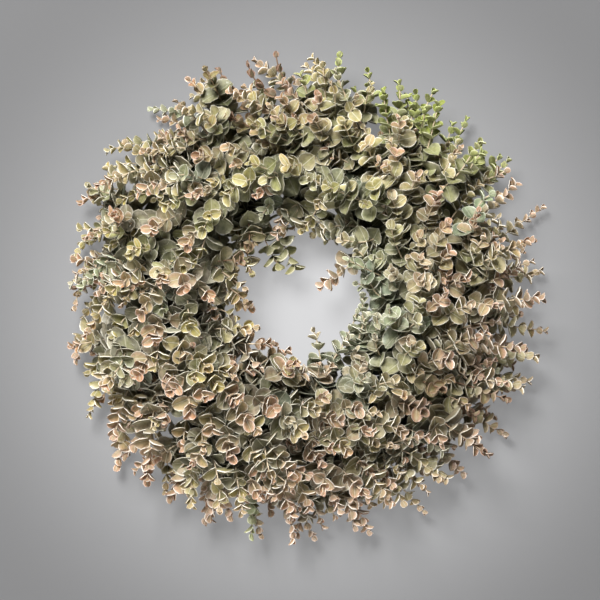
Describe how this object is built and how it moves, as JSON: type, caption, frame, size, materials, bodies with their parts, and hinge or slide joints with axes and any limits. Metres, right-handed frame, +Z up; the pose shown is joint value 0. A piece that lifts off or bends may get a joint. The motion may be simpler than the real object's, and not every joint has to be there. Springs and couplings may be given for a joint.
{
  "type": "eucalyptus wreath",
  "caption": "Round wreath of leafy silver-dollar eucalyptus sprays wired onto a wound vine ring, open in the middle, hung by its ring on a wall hook.",
  "frame": {"origin": "where a wall hook bears, at the inside of the vine ring's top", "axes": "+Z up, wreath in the XZ plane, front towards -Y, wall behind at +Y"},
  "size_m": [0.5746, 0.1365, 0.5866],
  "materials": {
    "leaf": "matte, dusty sage green leaves with cream rims and peach young tips",
    "vine": "dry brown bark",
    "wire": "dark green coated wire"
  },
  "bodies": {
    "root": {"vine_ring": "vine", "wire_tie_01": "wire", "wire_tie_02": "wire", "wire_tie_03": "wire", "wire_tie_04": "wire", "wire_tie_05": "wire", "wire_tie_06": "wire", "wire_tie_07": "wire", "wire_tie_08": "wire", "wire_tie_09": "wire", "spray_back_01": "leaf", "spray_back_02": "leaf", "spray_back_03": "leaf", "spray_back_04": "leaf", "spray_back_05": "leaf", "spray_back_06": "leaf", "spray_back_07": "leaf", "spray_back_08": "leaf", "spray_back_09": "leaf", "spray_outer_01": "leaf", "spray_outer_02": "leaf", "spray_outer_03": "leaf", "spray_outer_04": "leaf", "spray_outer_05": "leaf", "spray_outer_06": "leaf", "spray_outer_07": "leaf", "spray_outer_08": "leaf", "spray_outer_09": "leaf", "spray_face_01": "leaf", "spray_face_02": "leaf", "spray_face_03": "leaf", "spray_face_04": "leaf", "spray_face_05": "leaf", "spray_face_06": "leaf", "spray_face_07": "leaf", "spray_face_08": "leaf", "spray_face_09": "leaf", "spray_eye_01": "leaf", "spray_eye_02": "leaf", "spray_eye_03": "leaf", "spray_eye_04": "leaf", "spray_eye_05": "leaf", "spray_eye_06": "leaf", "spray_eye_07": "leaf", "spray_eye_08": "leaf", "spray_eye_09": "leaf", "spray_inner_01": "leaf", "spray_inner_02": "leaf", "spray_inner_03": "leaf", "spray_inner_04": "leaf", "spray_inner_05": "leaf", "spray_inner_06": "leaf", "spray_inner_07": "leaf", "spray_inner_08": "leaf", "spray_inner_09": "leaf"}
  },
  "joints": []
}
